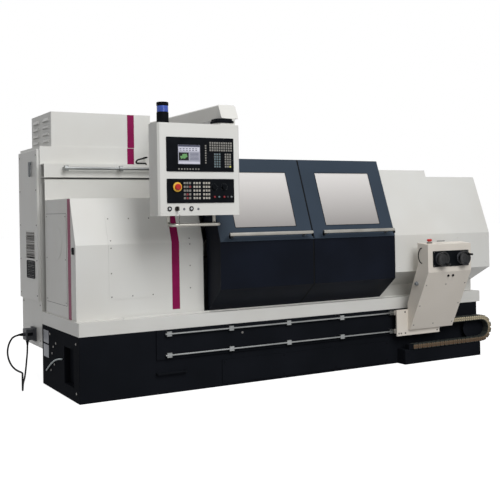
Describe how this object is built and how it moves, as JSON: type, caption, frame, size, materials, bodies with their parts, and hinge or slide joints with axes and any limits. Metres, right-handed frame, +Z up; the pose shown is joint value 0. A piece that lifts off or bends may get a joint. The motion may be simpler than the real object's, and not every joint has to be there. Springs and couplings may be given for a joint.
{
  "type": "cnc turning lathe",
  "caption": "CNC turning lathe with a dark base, white covers, sliding window doors, a boom-hung control panel and a sliding handwheel console with an energy chain.",
  "frame": {"origin": "centre of the base's footprint, on the floor", "axes": "+X along the spindle from the headstock to the tailstock, +Y to the back, +Z up"},
  "size_m": [3.7502, 1.7923, 1.98],
  "materials": {
    "white_paint": "satin powder coat",
    "black_paint": "satin powder coat",
    "navy_paint": "semi-gloss enamel",
    "slate_paint": "satin powder coat",
    "console_paint": "satin powder coat",
    "window": "clear polycarbonate",
    "bright_steel": "ground",
    "black_plastic": "fine matte",
    "key_plastic": "matte foil",
    "red_plastic": "gloss",
    "lamp_plastic": "gloss, blue lens",
    "chain_plastic": "moulded",
    "casting": "painted casting",
    "machined_steel": "turned and ground",
    "pulley_metal": "machined",
    "motor_paint": "satin",
    "rubber": "matte",
    "plug_plastic": "moulded",
    "chrome": "plated"
  },
  "bodies": {
    "machine": {"base": "black_paint", "chip_tray": "white_paint", "bed": "casting", "headstock": "casting", "headstock_cover": "white_paint", "cabinet": "white_paint", "drive_rack": "pulley_metal", "louvred_box": "white_paint", "guide_beam": "white_paint", "guide_pole": "bright_steel", "rear_guard": "white_paint", "tailstock_cover": "white_paint", "spindle_motor": "motor_paint", "drive_belt": "rubber", "console_rails": "bright_steel", "chain_lower": "chain_plastic", "boom_post": "white_paint", "mains_connector": "plug_plastic", "mains_cord": "rubber", "door_cable": "rubber"},
    "left_door": {"left_door_frame": "slate_paint", "left_door_skirt": "navy_paint", "left_window": "window", "left_door_handle": "bright_steel"},
    "right_door": {"right_door_frame": "slate_paint", "right_door_skirt": "navy_paint", "right_window": "window", "right_door_handle": "bright_steel"},
    "console": {"console_carriage": "console_paint", "console_stand": "console_paint", "console_face": "black_plastic", "chain_upper": "chain_plastic"},
    "chain_bend": {"chain_bend": "chain_plastic"},
    "left_handwheel": {"left_handwheel": "chrome"},
    "right_handwheel": {"right_handwheel": "chrome"},
    "console_stop": {"console_stop": "red_plastic"},
    "boom": {"boom": "white_paint"},
    "panel": {"panel_housing": "white_paint", "screen_unit": "black_plastic", "machine_unit": "black_plastic", "control_keys": "key_plastic", "panel_handle": "bright_steel", "signal_lamp": "lamp_plastic"},
    "panel_stop": {"panel_stop": "red_plastic"},
    "spindle_dial": {"spindle_dial": "black_plastic"},
    "feed_dial": {"feed_dial": "black_plastic"},
    "key_switch": {"key_switch": "chrome"},
    "cabinet_door": {"cabinet_door": "white_paint"},
    "cabinet_handle": {"cabinet_handle": "black_plastic"},
    "spindle": {"spindle": "machined_steel", "chuck": "machined_steel"},
    "jaw_1": {"jaw_1": "machined_steel"},
    "jaw_2": {"jaw_2": "machined_steel"},
    "jaw_3": {"jaw_3": "machined_steel"},
    "motor_pulley": {"motor_pulley": "pulley_metal"},
    "saddle": {"saddle": "casting"},
    "cross_slide": {"cross_slide": "casting"},
    "turret": {"turret": "machined_steel"},
    "tailstock": {"tailstock": "casting"},
    "quill": {"quill": "machined_steel"}
  },
  "joints": [
    {"name": "left_door_slide", "type": "slide", "parent": "machine", "child": "left_door", "axis": [-1, 0, 0], "range_m": [0, 0.62]},
    {"name": "right_door_slide", "type": "slide", "parent": "machine", "child": "right_door", "axis": [1, 0, 0], "range_m": [0, 0.62]},
    {"name": "console_slide", "type": "slide", "parent": "machine", "child": "console", "axis": [-1, 0, 0], "range_m": [0, 1.45], "deforming": ["chain_lower", "chain_upper"]},
    {"name": "chain_bend_slide", "type": "slide", "parent": "console", "child": "chain_bend", "axis": [-1, 0, 0], "range_m": [-0.725, 0]},
    {"name": "left_handwheel_turn", "type": "hinge", "parent": "console", "child": "left_handwheel", "pos_m": [1.027, -0.7588, 0.832], "axis": [0, -1, 0], "continuous": true},
    {"name": "right_handwheel_turn", "type": "hinge", "parent": "console", "child": "right_handwheel", "pos_m": [1.245, -0.7588, 0.832], "axis": [0, -1, 0], "continuous": true},
    {"name": "console_stop_press", "type": "slide", "parent": "console", "child": "console_stop", "axis": [0, 0, -1], "range_m": [0, 0.005], "stiffness_N_per_m": 1500},
    {"name": "boom_swivel", "type": "hinge", "parent": "machine", "child": "boom", "pos_m": [-0.764, 0.5125, 1.843], "axis": [0, 0, 1], "range_deg": [-12, 18]},
    {"name": "panel_swivel", "type": "hinge", "parent": "boom", "child": "panel", "pos_m": [-0.764, -0.6905, 1.793], "axis": [0, 0, 1], "range_deg": [-20, 90]},
    {"name": "panel_stop_press", "type": "slide", "parent": "panel", "child": "panel_stop", "axis": [0, 1, 0], "range_m": [0, 0.005], "stiffness_N_per_m": 1500},
    {"name": "spindle_dial_turn", "type": "hinge", "parent": "panel", "child": "spindle_dial", "pos_m": [-0.924, -0.7738, 1.383], "axis": [0, -1, 0], "range_deg": [-135, 135]},
    {"name": "feed_dial_turn", "type": "hinge", "parent": "panel", "child": "feed_dial", "pos_m": [-0.85, -0.7738, 1.383], "axis": [0, -1, 0], "range_deg": [-135, 135]},
    {"name": "key_turn", "type": "hinge", "parent": "panel", "child": "key_switch", "pos_m": [-1.187, -0.7688, 1.245], "axis": [0, -1, 0], "range_deg": [0, 90]},
    {"name": "cabinet_door_swing", "type": "hinge", "parent": "machine", "child": "cabinet_door", "pos_m": [-1.7403, 0.9375, 1.145], "axis": [0, 0, -1], "range_deg": [0, 110]},
    {"name": "cabinet_handle_turn", "type": "hinge", "parent": "cabinet_door", "child": "cabinet_handle", "pos_m": [-1.7506, 0.5805, 1.605], "axis": [-1, 0, 0], "range_deg": [0, 90]},
    {"name": "spindle_spin", "type": "hinge", "parent": "machine", "child": "spindle", "pos_m": [-1.23, -0.0075, 1.13], "axis": [1, 0, 0], "continuous": true},
    {"name": "jaw_1_slide", "type": "slide", "parent": "spindle", "child": "jaw_1", "axis": [0, 0, 1], "range_m": [-0.008, 0.008]},
    {"name": "jaw_2_slide", "type": "slide", "parent": "spindle", "child": "jaw_2", "axis": [0, -0.866, -0.5], "range_m": [-0.008, 0.008]},
    {"name": "jaw_3_slide", "type": "slide", "parent": "spindle", "child": "jaw_3", "axis": [0, 0.866, -0.5], "range_m": [-0.008, 0.008]},
    {"name": "motor_spin", "type": "hinge", "parent": "machine", "child": "motor_pulley", "pos_m": [-1.58, -0.0075, 0.72], "axis": [1, 0, 0], "continuous": true},
    {"name": "saddle_slide", "type": "slide", "parent": "machine", "child": "saddle", "axis": [-1, 0, 0], "range_m": [0, 0.75]},
    {"name": "cross_slide_move", "type": "slide", "parent": "saddle", "child": "cross_slide", "axis": [0, 1, 0], "range_m": [-0.1, 0.08]},
    {"name": "turret_index", "type": "hinge", "parent": "cross_slide", "child": "turret", "pos_m": [0.47, 0.1425, 1.13], "axis": [1, 0, 0], "continuous": true},
    {"name": "tailstock_slide", "type": "slide", "parent": "machine", "child": "tailstock", "axis": [-1, 0, 0], "range_m": [0, 0.3]},
    {"name": "quill_slide", "type": "slide", "parent": "tailstock", "child": "quill", "axis": [-1, 0, 0], "range_m": [0, 0.12]}
  ],
  "couplings": [
    {"joint": "chain_bend_slide", "follows": "console_slide", "ratio": -0.5},
    {"joint": "jaw_2_slide", "follows": "jaw_1_slide", "ratio": 1},
    {"joint": "jaw_3_slide", "follows": "jaw_1_slide", "ratio": 1},
    {"joint": "motor_spin", "follows": "spindle_spin", "ratio": 1.6}
  ]
}
